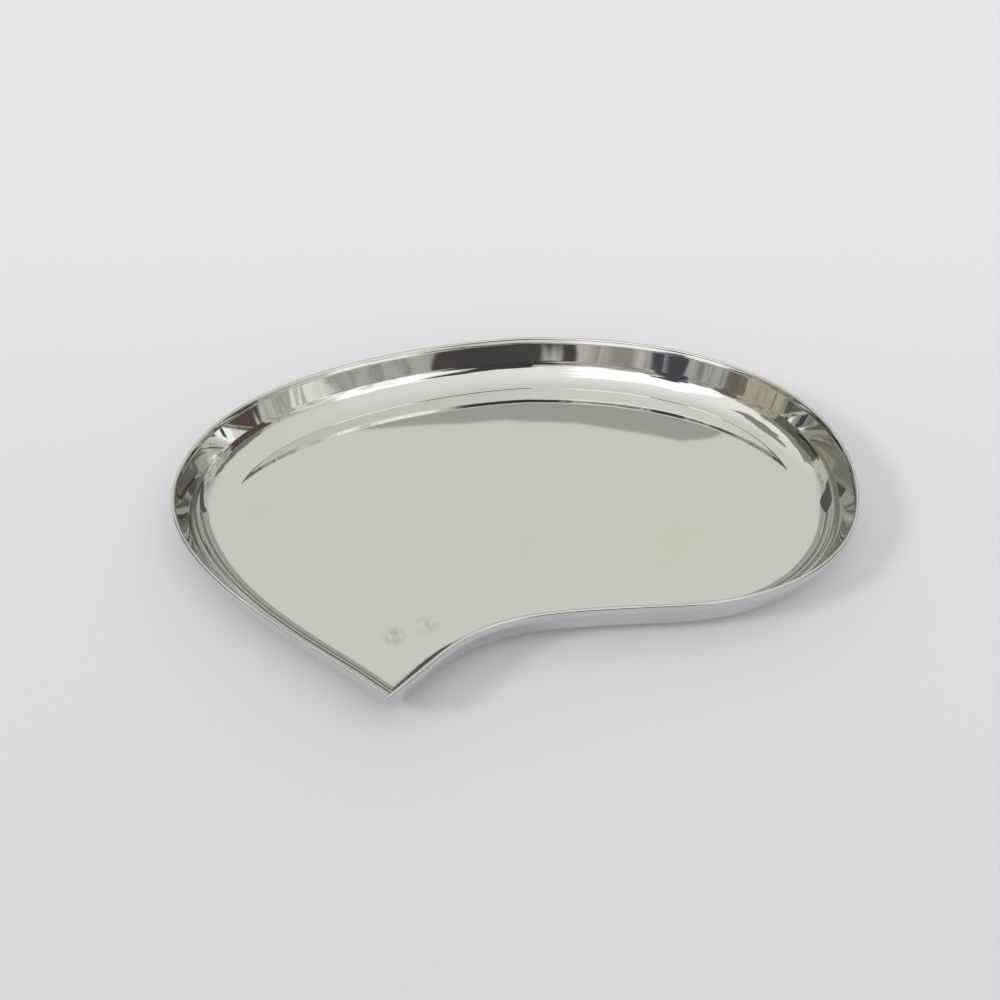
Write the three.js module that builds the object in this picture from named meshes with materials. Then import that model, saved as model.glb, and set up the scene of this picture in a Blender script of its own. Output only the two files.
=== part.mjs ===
// A shallow mirror-polished dish with a kidney outline that ends in one pointed corner.
// It is a single pressing of sheet metal: a flat floor, a coved corner, a flared wall, a narrow brim
// that leans in a little, and a rounded lip.
// Millimetres, +Z up. The origin is on the table, under the middle of the dish's bounding box.
// +X runs along the length, and -Y is the side with the hollow and the point.
import * as THREE from 'three';
import { LoftGeometry } from 'three/addons/geometries/LoftGeometry.js';
import { mergeGeometries } from 'three/addons/utils/BufferGeometryUtils.js';

// Overall size
const LENGTH = 178.7;
const WIDTH = 138;
const HEIGHT = 13.5;

// Section through the wall
const SHEET = 1;
const COVE_RADIUS = 9;
const WALL_SLOPE = THREE.MathUtils.degToRad(68);
const BEND_RADIUS = 1.6;
const BRIM = 0.9;
const BRIM_SLOPE = THREE.MathUtils.degToRad(98);

// The pointed corner: where it is, and the directions of the two straight runs that leave it
const POINT_X = -27.5;
const POINT_RUN = 14;
const FRONT_ANGLE = THREE.MathUtils.degToRad(47.7);
const LEFT_ANGLE = THREE.MathUtils.degToRad(142.2);

// Where the outline is farthest left, back and right, and where the front edge is nearly level
const LEFT_Y = 2.4;
const BACK_X = 5.9;
const RIGHT_Y = 10.2;
const FRONT = new THREE.Vector2(35.7, -43.2);
const FRONT_SLOPE = THREE.MathUtils.degToRad(2.9);

// How finely the surface is divided
const RIM_SPACING = 3.2;
const COVE_STEPS = 6;
const BEND_STEPS = 2;
const LIP_STEPS = 5;

// A point at a distance and an angle from another one.
function along(from, angle, distance) {
  return new THREE.Vector2(Math.cos(angle), Math.sin(angle)).multiplyScalar(distance).add(from);
}

// The pointed corner of the lip.
function cornerPoint() {
  return new THREE.Vector2(POINT_X, -WIDTH / 2);
}

// The curved part of the lip's outermost line, anticlockwise from one straight run to the other.
function rimCurves() {
  const frontRunEnd = along(cornerPoint(), FRONT_ANGLE, POINT_RUN);
  const leftRunEnd = along(cornerPoint(), LEFT_ANGLE, POINT_RUN);
  const right = new THREE.Vector2(LENGTH / 2, RIGHT_Y);
  const back = new THREE.Vector2(BACK_X, WIDTH / 2);
  const left = new THREE.Vector2(-LENGTH / 2, LEFT_Y);
  const up = Math.PI / 2;

  return [
    new THREE.CubicBezierCurve(
      frontRunEnd, along(frontRunEnd, FRONT_ANGLE, 15.8), along(FRONT, FRONT_SLOPE, -34.9), FRONT),
    new THREE.CubicBezierCurve(FRONT, along(FRONT, FRONT_SLOPE, 20.6), along(right, up, -42.1), right),
    new THREE.CubicBezierCurve(right, along(right, up, 21.1), along(back, 0, 67.4), back),
    new THREE.CubicBezierCurve(back, along(back, 0, -14.6), along(left, up, 53), left),
    new THREE.CubicBezierCurve(
      left, along(left, up, -31.3), along(leftRunEnd, LEFT_ANGLE, 15.6), leftRunEnd),
  ];
}

// The lip's outermost line as places, each with the direction in which the wall is offset from it.
// The straight runs meet in a mitre at the corner, so that place moves farther for the same offset.
function rimPlaces() {
  const halfCorner = (LEFT_ANGLE - FRONT_ANGLE) / 2;
  const mitre = along(new THREE.Vector2(), FRONT_ANGLE + halfCorner, 1 / Math.sin(halfCorner));
  const places = [{ edge: cornerPoint(), inward: mitre }];

  rimCurves().forEach((curve, index) => {
    const steps = Math.round(curve.getLength() / RIM_SPACING);
    for (let step = index === 0 ? 0 : 1; step <= steps; step++) {
      const edge = curve.getPointAt(step / steps);
      const tangent = curve.getTangentAt(step / steps);
      places.push({ edge, inward: new THREE.Vector2(-tangent.y, tangent.x) });
    }
  });
  return places;
}

// The slopes of the sheet's middle line along part of a circle, and its places there.
function bend(start, radius, fromSlope, toSlope, steps) {
  const places = [];
  for (let step = 0; step <= steps; step++) {
    const slope = THREE.MathUtils.lerp(fromSlope, toSlope, step / steps);
    const x = start.x - radius * (Math.sin(slope) - Math.sin(fromSlope));
    const y = start.y + radius * (Math.cos(fromSlope) - Math.cos(slope));
    places.push({ x, y, slope });
  }
  return places;
}

// A place farther up the sheet's middle line, at the same slope.
function upSlope({ x, y, slope }, rise) {
  return { x: x - rise / Math.tan(slope), y: y + rise, slope };
}

// The middle of the sheet's thickness from the floor up to the lip: cove, wall, bend and brim.
function middleLine() {
  const half = SHEET / 2;
  const cove = bend({ x: 0, y: half }, COVE_RADIUS + half, 0, WALL_SLOPE, COVE_STEPS);
  const bendRise = BEND_RADIUS * (Math.cos(WALL_SLOPE) - Math.cos(BRIM_SLOPE));
  const brimRise = BRIM * Math.sin(BRIM_SLOPE);
  const wallRise = HEIGHT - half - brimRise - bendRise - cove.at(-1).y;
  const wallTop = upSlope(cove.at(-1), wallRise);
  const brimBend = bend(wallTop, BEND_RADIUS, WALL_SLOPE, BRIM_SLOPE, BEND_STEPS);
  return [...cove, ...brimBend, upSlope(brimBend.at(-1), brimRise)];
}

// The section of the sheet: x is the distance in from the outline, y the height above the table.
// It runs from the edge of the base up the outside, over the lip and down the inside to the floor.
function wallSection() {
  const half = SHEET / 2;
  const line = middleLine();
  const outside = line.map(({ x, y, slope }) => along(new THREE.Vector2(x, y), -Math.PI / 2 - slope, half));
  const inside = line.map(({ x, y, slope }) => along(new THREE.Vector2(x, y), Math.PI / 2 - slope, half));

  const top = new THREE.Vector2(line.at(-1).x, line.at(-1).y);
  const lip = [];
  for (let step = 1; step < LIP_STEPS; step++) {
    lip.push(along(top, 1.5 * Math.PI - BRIM_SLOPE - (Math.PI * step) / LIP_STEPS, half));
  }

  const section = [...outside, ...lip, ...inside.reverse()];
  const outermost = Math.min(...section.map((point) => point.x));
  return section.map((point) => new THREE.Vector2(point.x - outermost, point.y));
}

// The rim's line moved inwards by a distance and placed at a height.
function ring(places, inset, height) {
  return places.map(({ edge, inward }) => {
    const moved = edge.clone().addScaledVector(inward, inset);
    return new THREE.Vector3(moved.x, moved.y, height);
  });
}

// The whole pressing: rings up the outside and down the inside, closed by the base and the floor.
function pressedDish() {
  const places = rimPlaces();
  const rings = wallSection().map((point) => ring(places, point.x, point.y));
  const wallAndBase = new LoftGeometry(rings, { capStart: true });
  const floorEdge = rings.at(-1).map((point) => new THREE.Vector2(point.x, point.y));
  const floor = new THREE.ShapeGeometry(new THREE.Shape(floorEdge)).translate(0, 0, SHEET);

  const polishedSteel = new THREE.MeshStandardMaterial({
    color: 0xd6d8cf,
    roughness: 0.06,
    metalness: 1,
  });
  const dish = new THREE.Mesh(mergeGeometries([wallAndBase, floor]), polishedSteel);
  dish.name = 'pressed_dish';
  return dish;
}

const group = new THREE.Group();
group.add(pressedDish());

export default group;
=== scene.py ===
"""Looks for the kidney dish: a fine mesh of the pressed sheet in polished metal, on a pale board.

Metres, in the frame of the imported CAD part: +X along the length, -Y the side with the point,
+Z up.
"""

import math

import bmesh
import bpy
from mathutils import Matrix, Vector


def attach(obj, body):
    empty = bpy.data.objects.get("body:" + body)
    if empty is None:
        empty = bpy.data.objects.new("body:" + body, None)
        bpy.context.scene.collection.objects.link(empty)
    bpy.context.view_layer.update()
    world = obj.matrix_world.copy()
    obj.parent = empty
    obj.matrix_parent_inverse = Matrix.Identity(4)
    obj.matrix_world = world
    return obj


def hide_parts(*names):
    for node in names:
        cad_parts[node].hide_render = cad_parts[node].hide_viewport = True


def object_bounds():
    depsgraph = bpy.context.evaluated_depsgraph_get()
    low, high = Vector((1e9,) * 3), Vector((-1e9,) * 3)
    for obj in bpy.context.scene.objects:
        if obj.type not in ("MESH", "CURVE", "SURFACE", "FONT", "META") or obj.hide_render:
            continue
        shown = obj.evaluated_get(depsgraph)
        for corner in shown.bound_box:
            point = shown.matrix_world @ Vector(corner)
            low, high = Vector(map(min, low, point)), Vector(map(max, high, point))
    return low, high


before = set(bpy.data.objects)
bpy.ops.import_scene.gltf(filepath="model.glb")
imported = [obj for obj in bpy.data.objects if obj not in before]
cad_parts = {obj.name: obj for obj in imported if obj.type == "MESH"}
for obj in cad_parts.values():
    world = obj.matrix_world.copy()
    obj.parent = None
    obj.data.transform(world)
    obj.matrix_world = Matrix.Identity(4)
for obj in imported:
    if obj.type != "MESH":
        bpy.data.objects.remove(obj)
cad_low, cad_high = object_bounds()

MM = 0.001

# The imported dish's box gives the overall size
LENGTH = cad_high.x - cad_low.x
WIDTH = cad_high.y - cad_low.y
HEIGHT = cad_high.z - cad_low.z

# Section through the wall, as in the part
SHEET = 1.0 * MM
COVE_RADIUS = 9.0 * MM
WALL_SLOPE = math.radians(68)
BEND_RADIUS = 1.6 * MM
BRIM = 0.9 * MM
BRIM_SLOPE = math.radians(98)

# The pointed corner and the two straight runs that leave it
POINT_X = -27.5 * MM
POINT_RUN = 14.0 * MM
FRONT_ANGLE = math.radians(47.7)
LEFT_ANGLE = math.radians(142.2)

# Where the outline is farthest left, back and right, and where the front edge is nearly level
LEFT_Y = 2.4 * MM
BACK_X = 5.9 * MM
RIGHT_Y = 10.2 * MM
FRONT = Vector((35.7 * MM, -43.2 * MM))
FRONT_SLOPE = math.radians(2.9)

# How far the outline's curves reach along their ends' directions before they bend away
FRONT_RUN_REACH = 15.8 * MM
FRONT_REACH_LEFT = 34.9 * MM
FRONT_REACH_RIGHT = 20.6 * MM
RIGHT_REACH_FORWARD = 42.1 * MM
RIGHT_REACH_BACK = 21.1 * MM
BACK_REACH_RIGHT = 67.4 * MM
BACK_REACH_LEFT = 14.6 * MM
LEFT_REACH_BACK = 53.0 * MM
LEFT_REACH_FORWARD = 31.3 * MM
LEFT_RUN_REACH = 15.6 * MM

# How finely the surface is divided
RIM_SPACING = 0.9 * MM
CURVE_SAMPLES = 400
COVE_STEPS = 20
WALL_STEPS = 6
BEND_STEPS = 5
LIP_STEPS = 12

# How many of the lip's steps have the outside's satin finish and painted shade
OUTSIDE_ON_LIP = 2


# ---------------------------------------------------------------- outline and section


def along(start, angle, distance):
    """A point at a distance and an angle from another one."""
    return start + Vector((math.cos(angle), math.sin(angle))) * distance


def rim_curves():
    """The curved part of the lip's outermost line, as cubic curves, anticlockwise."""
    point = Vector((POINT_X, -WIDTH / 2))
    front_run_end = along(point, FRONT_ANGLE, POINT_RUN)
    left_run_end = along(point, LEFT_ANGLE, POINT_RUN)
    right = Vector((LENGTH / 2, RIGHT_Y))
    back = Vector((BACK_X, WIDTH / 2))
    left = Vector((-LENGTH / 2, LEFT_Y))
    up = math.pi / 2
    return [
        (
            front_run_end,
            along(front_run_end, FRONT_ANGLE, FRONT_RUN_REACH),
            along(FRONT, FRONT_SLOPE, -FRONT_REACH_LEFT),
            FRONT,
        ),
        (
            FRONT,
            along(FRONT, FRONT_SLOPE, FRONT_REACH_RIGHT),
            along(right, up, -RIGHT_REACH_FORWARD),
            right,
        ),
        (right, along(right, up, RIGHT_REACH_BACK), along(back, 0, BACK_REACH_RIGHT), back),
        (back, along(back, 0, -BACK_REACH_LEFT), along(left, up, LEFT_REACH_BACK), left),
        (
            left,
            along(left, up, -LEFT_REACH_FORWARD),
            along(left_run_end, LEFT_ANGLE, LEFT_RUN_REACH),
            left_run_end,
        ),
    ]


def cubic(curve, t):
    """A cubic curve's point at t."""
    a, b, c, d = curve
    s = 1 - t
    return a * s**3 + b * (3 * s * s * t) + c * (3 * s * t * t) + d * t**3


def cubic_inward(curve, t):
    """The direction to the left of a cubic curve at t, which is inwards."""
    a, b, c, d = curve
    s = 1 - t
    slope = (b - a) * (s * s) + (c - b) * (2 * s * t) + (d - c) * (t * t)
    slope.normalize()
    return Vector((-slope.y, slope.x))


def even_steps(curve, spacing):
    """Values of t that divide a cubic curve evenly, with both ends."""
    lengths = [0.0]
    last = curve[0]
    for i in range(1, CURVE_SAMPLES + 1):
        here = cubic(curve, i / CURVE_SAMPLES)
        lengths.append(lengths[-1] + (here - last).length)
        last = here
    steps = max(1, round(lengths[-1] / spacing))
    values = []
    i = 0
    for step in range(steps + 1):
        wanted = lengths[-1] * step / steps
        while i < CURVE_SAMPLES - 1 and lengths[i + 1] < wanted:
            i += 1
        part = (wanted - lengths[i]) / (lengths[i + 1] - lengths[i])
        values.append((i + min(1.0, part)) / CURVE_SAMPLES)
    return values


def rim_places():
    """The rim's line as (edge, inward) pairs. The straight runs meet in a mitre at the corner."""
    half_corner = (LEFT_ANGLE - FRONT_ANGLE) / 2
    mitre = along(Vector((0, 0)), FRONT_ANGLE + half_corner, 1 / math.sin(half_corner))
    places = [(Vector((POINT_X, -WIDTH / 2)), mitre)]
    for number, curve in enumerate(rim_curves()):
        # A later curve's first point is the last point of the one before
        first = 0 if number == 0 else 1
        for t in even_steps(curve, RIM_SPACING)[first:]:
            places.append((cubic(curve, t), cubic_inward(curve, t)))
    return places


def middle_line():
    """The middle of the sheet's thickness from the floor to the lip, as (x inwards, y up, slope).

    It starts at x = 0. The wall bends to just past upright below the lip, as a narrow brim.
    """
    half = SHEET / 2
    radius = COVE_RADIUS + half
    cove_rise = radius * (1 - math.cos(WALL_SLOPE))
    bend_rise = BEND_RADIUS * (math.cos(WALL_SLOPE) - math.cos(BRIM_SLOPE))
    brim_rise = BRIM * math.sin(BRIM_SLOPE)
    wall_rise = HEIGHT - SHEET - cove_rise - bend_rise - brim_rise

    line = []
    for i in range(COVE_STEPS + 1):
        slope = WALL_SLOPE * i / COVE_STEPS
        line.append((-radius * math.sin(slope), half + radius * (1 - math.cos(slope)), slope))
    foot = line[-1]
    for i in range(1, WALL_STEPS + 1):
        rise = wall_rise * i / WALL_STEPS
        line.append((foot[0] - rise / math.tan(WALL_SLOPE), foot[1] + rise, WALL_SLOPE))
    foot = line[-1]
    for i in range(1, BEND_STEPS + 1):
        slope = WALL_SLOPE + (BRIM_SLOPE - WALL_SLOPE) * i / BEND_STEPS
        line.append(
            (
                foot[0] - BEND_RADIUS * (math.sin(slope) - math.sin(WALL_SLOPE)),
                foot[1] + BEND_RADIUS * (math.cos(WALL_SLOPE) - math.cos(slope)),
                slope,
            )
        )
    foot = line[-1]
    line.append((foot[0] - BRIM * math.cos(BRIM_SLOPE), foot[1] + brim_rise, BRIM_SLOPE))
    return line


def wall_section():
    """The sheet's section up the outside, over the lip and down to the floor, with directions.

    Each entry is a point and the way the surface faces there: x inwards, y up. The outermost
    point of the section is at x = 0.
    """
    half = SHEET / 2
    line = middle_line()
    outside = []
    inside = []
    for x, y, slope in line:
        out = Vector((-math.sin(slope), -math.cos(slope)))
        outside.append((Vector((x, y)) + out * half, out))
        inside.append((Vector((x, y)) - out * half, -out))
    top = Vector(line[-1][:2])
    lip = []
    lip_start = math.radians(270) - BRIM_SLOPE
    for i in range(1, LIP_STEPS):
        way = along(Vector((0, 0)), lip_start - math.pi * i / LIP_STEPS, 1)
        lip.append((top + way * half, way))
    section = outside + lip + inside[::-1]
    outermost = Vector((min(at.x for at, way in section), 0))
    return [(at - outermost, way) for at, way in section]


# ---------------------------------------------------------------- the dish's mesh


def add_ring(mesh, places, inset, height):
    """A closed ring of vertices, inset from the outline."""
    ring = []
    for edge, inward in places:
        at = edge + inward * inset
        ring.append(mesh.verts.new((at.x, at.y, height)))
    return ring


def join_rings(mesh, lower, upper):
    """Quads between two rings."""
    count = len(lower)
    for i in range(count):
        j = (i + 1) % count
        mesh.faces.new((lower[i], lower[j], upper[j], upper[i]))


def make_dish():
    """The pressed sheet, as one closed mesh with its own shading directions."""
    places = rim_places()
    section = wall_section()
    turned = [way for at, way in section]
    count = len(places)
    mesh = bmesh.new()
    rings = [add_ring(mesh, places, at.x, at.y) for at, way in section]
    for lower, upper in zip(rings, rings[1:]):
        join_rings(mesh, lower, upper)
    base = mesh.faces.new(list(reversed(rings[0])))
    floor = mesh.faces.new(rings[-1])
    mesh.normal_update()
    bmesh.ops.triangulate(mesh, faces=[base, floor])
    data = bpy.data.meshes.new("kidney_dish_shell")
    mesh.to_mesh(data)
    mesh.free()

    # Shading follows the true section, with a crease where the two straight runs meet
    sides = [inward.normalized() for edge, inward in places]
    before = Vector((math.sin(LEFT_ANGLE), -math.cos(LEFT_ANGLE)))
    after = Vector((-math.sin(FRONT_ANGLE), math.cos(FRONT_ANGLE)))
    last_outside = len(middle_line()) - 1 + OUTSIDE_ON_LIP
    shading = []
    for face in data.polygons:
        used = list(face.vertices)
        # The wall is all quads, and the floor and base are triangles
        on_wall = len(used) == 4
        corner_side = after if 1 in {v % count for v in used} else before
        outside = True
        for vertex in used:
            ring, place = divmod(vertex, count)
            outside = outside and ring <= last_outside
            if on_wall:
                side = sides[place] if place else corner_side
                direction = (side * turned[ring].x).to_3d()
                direction.z = turned[ring].y
            else:
                direction = Vector((0, 0, 1 if ring else -1))
            shading.append(direction)
        face.use_smooth = True
        face.material_index = 1 if outside else 0
    data.normals_split_custom_set(shading)
    dish = bpy.data.objects.new("kidney_dish_shell", data)
    bpy.context.collection.objects.link(dish)
    return dish


# ---------------------------------------------------------------- materials


# Two dull finger marks near the point: places, size, colour and strength
FINGER_MARKS = ((-29.5 * MM, -41.5 * MM, SHEET), (-22.0 * MM, -38.0 * MM, SHEET))
FINGER_RADIUS = 4 * MM
SMUDGED = (0.52, 0.53, 0.50)
FINGER_STRENGTH = 0.9

# Sizes of the metal's marks, as noise scales: larger is finer
FILM_SCALE = 34.0
SMUDGE_SCALE = 95.0
FINGER_SCALE = 380.0
WAVE_SCALE = 38.0

# Fine scratches in three directions (radians), each in patches of its own
SCRATCH_TURNS = (0.5, 1.9, 2.7)
SCRATCH_STRETCH = (900.0, 22.0, 22.0)
SCRATCH_PATCH_SCALE = 40.0
SCRATCH_DEPTH = 0.004 * MM
SCRATCH_STRENGTH = 0.3

# The board's two tones, and how much painted shade darkens it towards the camera
BOARD_DARK = (0.790, 0.785, 0.785)
BOARD_PALE = (0.820, 0.815, 0.808)
BOARD_SCALE = 900.0
BOARD_PAINTED_SHADE = 0.15


def empty_tree(owner):
    """A node tree with nothing in it."""
    owner.use_nodes = True
    owner.node_tree.nodes.clear()
    return owner.node_tree


def feed(tree, socket, value):
    """Give a socket a plain value, or the output that feeds it."""
    if isinstance(value, bpy.types.NodeSocket):
        tree.links.new(value, socket)
    else:
        socket.default_value = value


def add(tree, kind, *ordered, settings=None, **inputs):
    """A new node. Its inputs are given in order, by name, or both."""
    made = tree.nodes.new(kind)
    for name, value in (settings or {}).items():
        setattr(made, name, value)
    for socket, value in zip(made.inputs, ordered):
        feed(tree, socket, value)
    for name, value in inputs.items():
        feed(tree, made.inputs[name], value)
    return made


def maths(tree, operation, *values):
    """The result of one arithmetic step."""
    return add(tree, "ShaderNodeMath", *values, settings={"operation": operation}).outputs[0]


def noise(tree, place, scale, detail=3.0, roughness=0.5):
    """Cloudy noise, from 0 to 1."""
    return add(
        tree,
        "ShaderNodeTexNoise",
        Vector=place,
        Scale=scale,
        Detail=detail,
        Roughness=roughness,
    ).outputs["Fac"]


def spread(tree, value, low, high, bottom, top):
    """A value's range low to high, taken to bottom to top with level ends."""
    return add(
        tree,
        "ShaderNodeMapRange",
        value,
        low,
        high,
        bottom,
        top,
        settings={"interpolation_type": "SMOOTHSTEP"},
    ).outputs[0]


def blend_colours(tree, amount, first, second):
    """Two colours mixed by an amount."""
    made = add(tree, "ShaderNodeMix", amount, settings={"data_type": "RGBA"})
    # The colours are the node's inputs 6 and 7 and its output 2
    for socket, value in ((made.inputs[6], first), (made.inputs[7], second)):
        plain = not isinstance(value, bpy.types.NodeSocket)
        feed(tree, socket, (*value, 1) if plain else value)
    return made.outputs[2]


def stretched(tree, place, turn, scale):
    """The same place, turned about Z and squeezed, for marks that run one way."""
    return add(
        tree,
        "ShaderNodeMapping",
        Vector=place,
        Rotation=(0, 0, turn),
        Scale=scale,
    ).outputs[0]


def mark_at(tree, place, centre, radius):
    """1 at a spot on the dish, fading to 0 at a radius."""
    away = add(
        tree,
        "ShaderNodeVectorMath",
        place,
        centre,
        settings={"operation": "DISTANCE"},
    )
    return spread(tree, away.outputs["Value"], 0.0, radius, 1.0, 0.0)


def metal(name, colour, film, roughness, worn, waviness):
    """Bare metal with a cloudy film, fine scratches and a faint waviness of the sheet."""
    material = bpy.data.materials.new(name)
    tree = empty_tree(material)
    out = add(tree, "ShaderNodeOutputMaterial")
    place = add(tree, "ShaderNodeTexCoord").outputs["Object"]

    clouds = noise(tree, place, FILM_SCALE, 4.0, 0.55)
    clouds = spread(tree, clouds, 0.5, 0.72, 0.0, 1.0)
    smudges = noise(tree, place, SMUDGE_SCALE, 5.0, 0.6)
    smudges = spread(tree, smudges, 0.66, 0.78, 0.0, 1.0)
    fingers = [mark_at(tree, place, centre, FINGER_RADIUS) for centre in FINGER_MARKS]
    fingers = maths(tree, "MAXIMUM", *fingers)
    ridges = noise(tree, place, FINGER_SCALE, 4.0)
    ridges = spread(tree, ridges, 0.40, 0.62, 0.1, 1.0)
    fingers = maths(tree, "MULTIPLY", fingers, ridges)
    smudges = maths(tree, "MAXIMUM", smudges, fingers)
    surface = blend_colours(tree, clouds, colour, film)
    dulled = maths(tree, "MULTIPLY", fingers, FINGER_STRENGTH)
    surface = blend_colours(tree, dulled, surface, SMUDGED)

    scratches = 0.0
    for number, turn in enumerate(SCRATCH_TURNS):
        run = stretched(tree, place, turn, SCRATCH_STRETCH)
        lines = noise(tree, run, 1.0 + 0.17 * number, 1.0)
        lines = spread(tree, lines, 0.77, 0.82, 0.0, 1.0)
        patches = noise(tree, place, SCRATCH_PATCH_SCALE + 9 * number, 2.0)
        patches = spread(tree, patches, 0.5, 0.62, 0.0, 1.0)
        scratches = maths(tree, "MAXIMUM", scratches, maths(tree, "MULTIPLY", lines, patches))

    rough = maths(tree, "ADD", roughness, maths(tree, "MULTIPLY", smudges, worn))
    rough = maths(tree, "ADD", rough, maths(tree, "MULTIPLY", scratches, worn))
    waves = add(
        tree,
        "ShaderNodeBump",
        Strength=1.0,
        Distance=waviness,
        Height=noise(tree, place, WAVE_SCALE, 1.0),
    ).outputs[0]
    marked = add(
        tree,
        "ShaderNodeBump",
        settings={"invert": True},
        Strength=SCRATCH_STRENGTH,
        Distance=SCRATCH_DEPTH,
        Height=scratches,
        Normal=waves,
    ).outputs[0]
    shader = add(
        tree,
        "ShaderNodeBsdfPrincipled",
        Metallic=1.0,
        **{"Base Color": surface},
        Roughness=rough,
        Normal=marked,
    )
    tree.links.new(shader.outputs[0], out.inputs[0])
    return material


def pale_board():
    """Pale, smooth card, with painted shade on the camera's side of the dish."""
    material = bpy.data.materials.new("pale_board")
    tree = empty_tree(material)
    out = add(tree, "ShaderNodeOutputMaterial")
    place = add(tree, "ShaderNodeTexCoord").outputs["Object"]
    fibres = noise(tree, place, BOARD_SCALE, 4.0, 0.6)
    colour = blend_colours(tree, fibres, BOARD_DARK, BOARD_PALE)
    far = add(tree, "ShaderNodeSeparateXYZ", place).outputs["Y"]
    # Painted shade: darker on the camera's side of the dish, and pale again farther out
    near = spread(tree, far, -0.25, 0.25, BOARD_PAINTED_SHADE, 0.0)
    near = maths(tree, "MULTIPLY", near, spread(tree, far, -1.5, -0.4, 0.0, 1.0))
    colour = blend_colours(tree, near, colour, (0.0, 0.0, 0.0))
    shader = add(
        tree,
        "ShaderNodeBsdfPrincipled",
        **{"Base Color": colour},
        Roughness=0.75,
    )
    shader.inputs["Specular IOR Level"].default_value = 0.0
    tree.links.new(shader.outputs[0], out.inputs[0])
    return material


# ---------------------------------------------------------------- the dish

# The outside is duller than the inside, for a satin finish; its darker, faintly bluish colour is
# painted shade, from the shaded board it faces
dish = make_dish()
dish.data.materials.append(
    metal(
        "mirror_polished_inside",
        colour=(0.800, 0.808, 0.775),
        film=(0.782, 0.790, 0.725),
        roughness=0.03,
        worn=0.10,
        waviness=0.03 * MM,
    )
)
dish.data.materials.append(
    metal(
        "satin_outside_painted_shade",
        # Painted shade: darker and bluer than the inside's colour, as the shaded board makes the
        # outside look
        colour=(0.62, 0.62, 0.635),
        film=(0.59, 0.59, 0.605),
        roughness=0.09,
        worn=0.12,
        waviness=0.04 * MM,
    )
)
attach(dish, "root")
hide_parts("pressed_dish")

# ---------------------------------------------------------------- floor, light and camera

# The board's size and its gap under the dish
BOARD_SIZE = 12.0
BOARD_GAP = 0.05 * MM

# What the camera sees past the board, and the even light that falls on it
BACKDROP = (0.75, 0.75, 0.755)
SOFT_LIGHT = (0.650, 0.653, 0.676)

# What the metal reflects: a pale ceiling, brighter behind the camera and on the left, above a
# greyer wall, with plain cards round the set. Azimuth is measured from +Y towards +X
CEILING = (0.700, 0.706, 0.650)
BRIGHT_CEILING = (0.950, 0.945, 0.940)
BRIGHT_SIDE = Vector((-0.60, -0.60, 0.53))
LOW_WALL = (0.550, 0.545, 0.500)
SHADE = (0.070, 0.066, 0.062)

# How far the cards' edges wander, in degrees
AZIMUTH_WANDER = 26.0
ELEVATION_WANDER = 16.0
STRIP_STRENGTH = 0.50

# The camera's place and how far it looks down, in degrees
CAMERA_PLACE = (-0.00438, -0.19594, 0.1831)
CAMERA_PITCH = 41.92

# A low grey screen with dark ends stands beyond the dish, as (across, up) corners. The floor
# shows its top edge, and the walls at both ends show its dark ends
SCREEN_Y = 0.47
SCREEN_OUTER = (
    (-0.42, 0.0),
    (-0.37, 0.12),
    (-0.21, 0.30),
    (-0.14, 0.338),
    (0.00, 0.327),
    (0.06, 0.330),
    (0.12, 0.342),
    (0.15, 0.350),
    (0.175, 0.347),
    (0.20, 0.330),
    (0.31, 0.270),
    (0.60, 0.140),
    (0.85, 0.0),
)
SCREEN_INNER = (
    (-0.30, 0.0),
    (-0.27, 0.07),
    (-0.15, 0.24),
    (-0.12, 0.336),
    (0.00, 0.3266),
    (0.06, 0.3296),
    (0.12, 0.3416),
    (0.15, 0.3496),
    (0.175, 0.3466),
    (0.20, 0.3295),
    (0.22, 0.24),
    (0.33, 0.16),
    (0.56, 0.05),
    (0.68, 0.0),
)
SCREEN = (0.385, 0.387, 0.358)
SCREEN_PALE = (0.500, 0.500, 0.475)
SCREEN_DARK = (0.130, 0.132, 0.122)
SCREEN_ENDS = (0.100, 0.102, 0.095)

# Name, azimuth from and to, elevation from and to, in degrees, softness of the edge, colour
CARDS = (
    ("brown_card", 84, 109, -5, 23, 1.0, (0.110, 0.072, 0.064)),
    ("cream_card", 122, 136, -5, 30, 3.0, (0.860, 0.840, 0.800)),
    ("left_lamp", 135, 154, 12.5, 40, 1.5, (1.30, 1.30, 1.34)),
    ("olive_card", 141, 156, -5, 11.5, 1.0, (0.460, 0.455, 0.420)),
    ("camera_card", 156, 180, -5, 36, 0.8, (0.072, 0.062, 0.064)),
    ("camera_card_low", 158, 178, 12, 32, 3.0, (0.040, 0.042, 0.050)),
    ("right_lamp", 183, 234, 32, 71, 2.5, (1.32, 1.31, 1.36)),
    ("beige_card", 181, 204, -5, 30, 1.0, (0.550, 0.500, 0.450)),
    ("navy_card", 204, 215, -5, 40, 1.0, (0.075, 0.077, 0.105)),
    ("speckled_card", 215, 229, -5, 27, 1.0, (0.420, 0.420, 0.400)),
    ("grey_brown_card", 229, 241, -5, 31, 1.0, (0.230, 0.185, 0.160)),
    ("buff_card", 241, 265, -5, 36, 1.0, (0.450, 0.405, 0.320)),
    ("shelf_card", 60, 104, 24, 35, 1.5, (0.200, 0.205, 0.190)),
    ("grey_card", 262, 312, 29, 40, 1.5, (0.270, 0.275, 0.250)),
    ("green_card", 265, 299, -5, 29, 1.0, (0.120, 0.140, 0.100)),
    ("dark_card", 280, 297, -5, 13, 1.0, (0.025, 0.030, 0.040)),
    ("frame_card", 266, 318, 53, 64, 1.0, (0.290, 0.270, 0.230)),
)


def make_floor():
    """A wide level board under the dish."""
    mesh = bmesh.new()
    bmesh.ops.create_grid(mesh, x_segments=8, y_segments=8, size=BOARD_SIZE)
    data = bpy.data.meshes.new("board")
    mesh.to_mesh(data)
    mesh.free()
    board = bpy.data.objects.new("board", data)
    board.location.z = cad_low.z - BOARD_GAP
    bpy.context.collection.objects.link(board)
    board.data.materials.append(pale_board())


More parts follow.
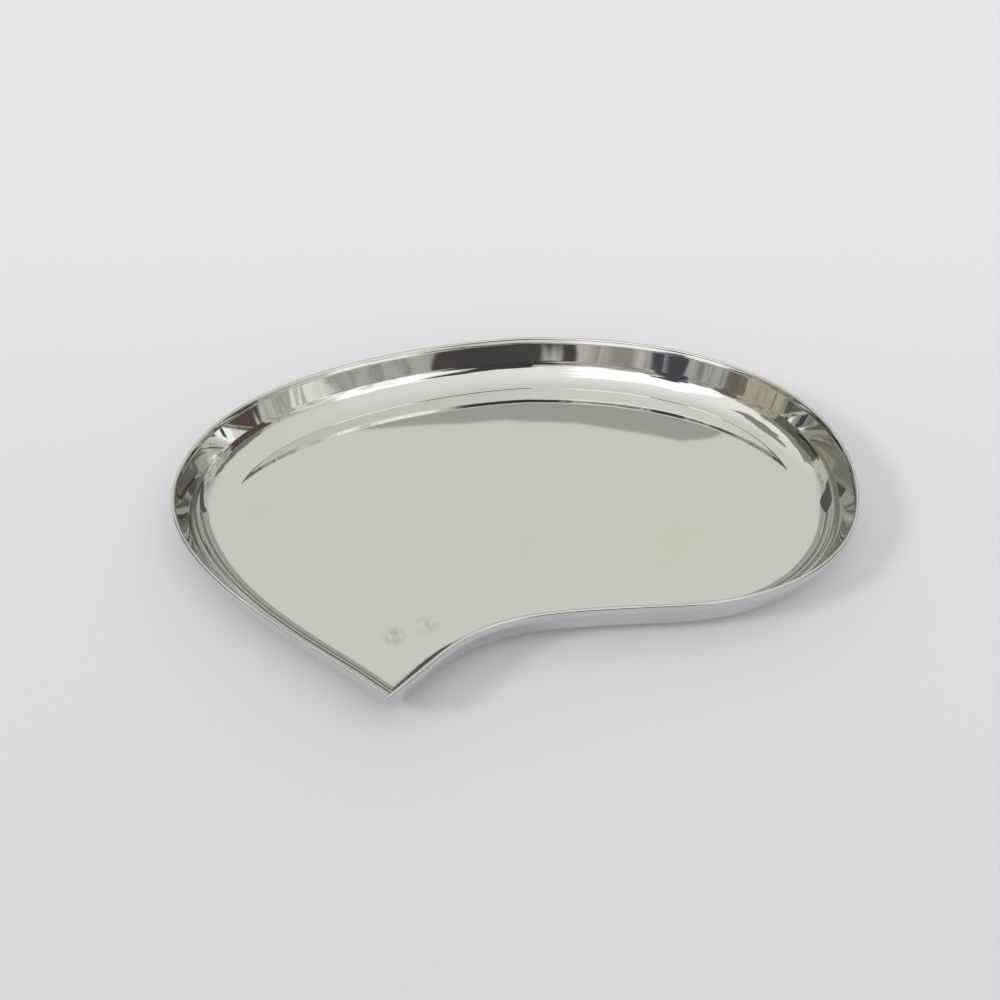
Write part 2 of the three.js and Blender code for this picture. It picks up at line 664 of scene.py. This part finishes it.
def card_mask(tree, azimuth, elevation, card):
    """1 where a direction meets a card and 0 elsewhere, with soft edges."""
    start, end, low, high, soft = card[1:6]
    middle = (start + end) / 2
    away = maths(tree, "SUBTRACT", azimuth, middle)
    away = maths(tree, "WRAP", away, 180.0, -180.0)
    away = maths(tree, "ABSOLUTE", away)
    half = (end - start) / 2
    across = spread(tree, away, half - soft, half + soft, 1.0, 0.0)
    above = spread(tree, elevation, low - soft, low + soft, 0.0, 1.0)
    below = spread(tree, elevation, high - soft, high + soft, 1.0, 0.0)
    return maths(tree, "MULTIPLY", across, maths(tree, "MULTIPLY", above, below))


def make_world():
    """Even light for the board, cards for the metal to reflect, and a plain pale backdrop."""
    world = bpy.data.worlds.new("studio")
    bpy.context.scene.world = world
    tree = empty_tree(world)
    out = add(tree, "ShaderNodeOutputWorld")
    place = add(tree, "ShaderNodeTexCoord").outputs["Generated"]
    split = add(tree, "ShaderNodeSeparateXYZ", place)
    x, y, z = split.outputs
    azimuth = maths(tree, "DEGREES", maths(tree, "ARCTAN2", x, y))
    elevation = maths(tree, "DEGREES", maths(tree, "ARCSINE", z))
    side = add(
        tree,
        "ShaderNodeVectorMath",
        place,
        BRIGHT_SIDE,
        settings={"operation": "DOT_PRODUCT"},
    )
    bright = spread(tree, side.outputs["Value"], 0.1, 0.9, 0.0, 1.0)
    wall = spread(tree, elevation, 24, 40, 1.0, 0.0)
    room = blend_colours(tree, bright, CEILING, BRIGHT_CEILING)
    room = blend_colours(tree, wall, room, LOW_WALL)

    # The cards' edges wander, as edges do in a room
    wander = noise(tree, place, 6.0, 3.0)
    azimuth = maths(tree, "MULTIPLY_ADD", wander, AZIMUTH_WANDER, azimuth)
    azimuth = maths(tree, "SUBTRACT", azimuth, AZIMUTH_WANDER / 2)
    wander = noise(tree, place, 7.3, 3.0)
    elevation = maths(tree, "MULTIPLY_ADD", wander, ELEVATION_WANDER, elevation)
    elevation = maths(tree, "SUBTRACT", elevation, ELEVATION_WANDER / 2)
    for card in CARDS:
        room = blend_colours(tree, card_mask(tree, azimuth, elevation, card), room, card[-1])

    # Low down the room is darker in upright strips
    upright = add(
        tree,
        "ShaderNodeCombineXYZ",
        X=maths(tree, "MULTIPLY", azimuth, 0.22),
        Y=maths(tree, "MULTIPLY", elevation, 0.02),
    ).outputs[0]
    strips = noise(tree, upright, 1.0, 3.0)
    strips = spread(tree, strips, 0.42, 0.64, 0.0, STRIP_STRENGTH)
    strips = maths(tree, "MULTIPLY", strips, spread(tree, elevation, 20, 36, 1.0, 0.0))
    room = blend_colours(tree, strips, room, SHADE)

    # The metal mirrors the room, the board gets the even light and the camera sees the backdrop
    rays = add(tree, "ShaderNodeLightPath")
    seen = blend_colours(tree, rays.outputs["Is Glossy Ray"], SOFT_LIGHT, room)
    seen = blend_colours(tree, rays.outputs["Is Camera Ray"], seen, BACKDROP)
    sky = add(tree, "ShaderNodeBackground", Color=seen, Strength=1.0)
    tree.links.new(sky.outputs[0], out.inputs[0])


def screen_grey():
    """The screen's face: even at the top, with level pale and dark streaks lower down."""
    material = bpy.data.materials.new("screen_grey")
    tree = empty_tree(material)
    out = add(tree, "ShaderNodeOutputMaterial")
    place = add(tree, "ShaderNodeTexCoord").outputs["Object"]
    height = add(tree, "ShaderNodeSeparateXYZ", place).outputs["Z"]
    low = spread(tree, height, 0.20, 0.30, 1.0, 0.0)
    level = add(tree, "ShaderNodeMapping", Vector=place, Scale=(2.0, 1.0, 24.0)).outputs[0]
    streaks = noise(tree, level, 1.0, 3.0)
    pale = maths(tree, "MULTIPLY", low, spread(tree, streaks, 0.50, 0.60, 0.0, 1.0))
    dark = maths(tree, "MULTIPLY", low, spread(tree, streaks, 0.40, 0.47, 1.0, 0.0))
    colour = blend_colours(tree, pale, SCREEN, SCREEN_PALE)
    colour = blend_colours(tree, dark, colour, SCREEN_DARK)
    shader = add(tree, "ShaderNodeEmission", Color=colour, Strength=1.0)
    tree.links.new(shader.outputs[0], out.inputs[0])
    return material


def glow(name, colour):
    """An even surface that shows one colour."""
    material = bpy.data.materials.new(name)
    tree = empty_tree(material)
    out = add(tree, "ShaderNodeOutputMaterial")
    shader = add(tree, "ShaderNodeEmission", Color=(*colour, 1), Strength=1.0)
    tree.links.new(shader.outputs[0], out.inputs[0])
    return material


def make_screen():
    """The grey screen beyond the dish, which only the metal's reflections show."""
    mesh = bmesh.new()
    for number, corners in enumerate((SCREEN_OUTER, SCREEN_INNER)):
        ahead = SCREEN_Y - number * MM
        face = mesh.faces.new([mesh.verts.new((x, ahead, z)) for x, z in corners])
        face.material_index = number
    mesh.normal_update()
    bmesh.ops.triangulate(mesh, faces=mesh.faces[:])
    data = bpy.data.meshes.new("screen")
    mesh.to_mesh(data)
    mesh.free()
    screen = bpy.data.objects.new("screen", data)
    bpy.context.collection.objects.link(screen)
    data.materials.append(glow("screen_ends", SCREEN_ENDS))
    data.materials.append(screen_grey())
    screen.visible_camera = False
    screen.visible_diffuse = False
    screen.visible_shadow = False


def add_lamp(name, towards, angle, energy, colour):
    """A soft distant lamp that the metal doesn't mirror."""
    data = bpy.data.lights.new(name, "SUN")
    data.angle = math.radians(angle)
    data.energy = energy
    data.color = colour
    lamp = bpy.data.objects.new(name, data)
    lamp.location = towards.normalized()
    lamp.rotation_euler = towards.to_track_quat("Z", "Y").to_euler()
    lamp.visible_glossy = False
    lamp.visible_camera = False
    bpy.context.collection.objects.link(lamp)


def make_lamps():
    """A soft lamp on the left, which casts the shadow, and a broad one in front."""
    add_lamp("key_light", Vector((-0.757, -0.358, 0.547)), 11, 0.80, (1.0, 0.995, 0.985))
    add_lamp("front_light", Vector((0.20, -0.70, 0.75)), 70, 0.88, (1.0, 1.0, 1.0))


def make_camera():
    """The camera: above and in front of the dish, looking down at it."""
    data = bpy.data.cameras.new("camera")
    data.lens = 36
    data.sensor_width = 36
    data.clip_start = 0.01
    data.clip_end = 30
    camera = bpy.data.objects.new("camera", data)
    camera.location = CAMERA_PLACE
    camera.rotation_euler = (math.radians(90 - CAMERA_PITCH), 0, 0)
    bpy.context.collection.objects.link(camera)
    bpy.context.scene.camera = camera


make_floor()
make_world()
make_screen()
make_lamps()
make_camera()

bpy.context.scene.view_settings.view_transform = "Standard"

bpy.context.view_layer.update()
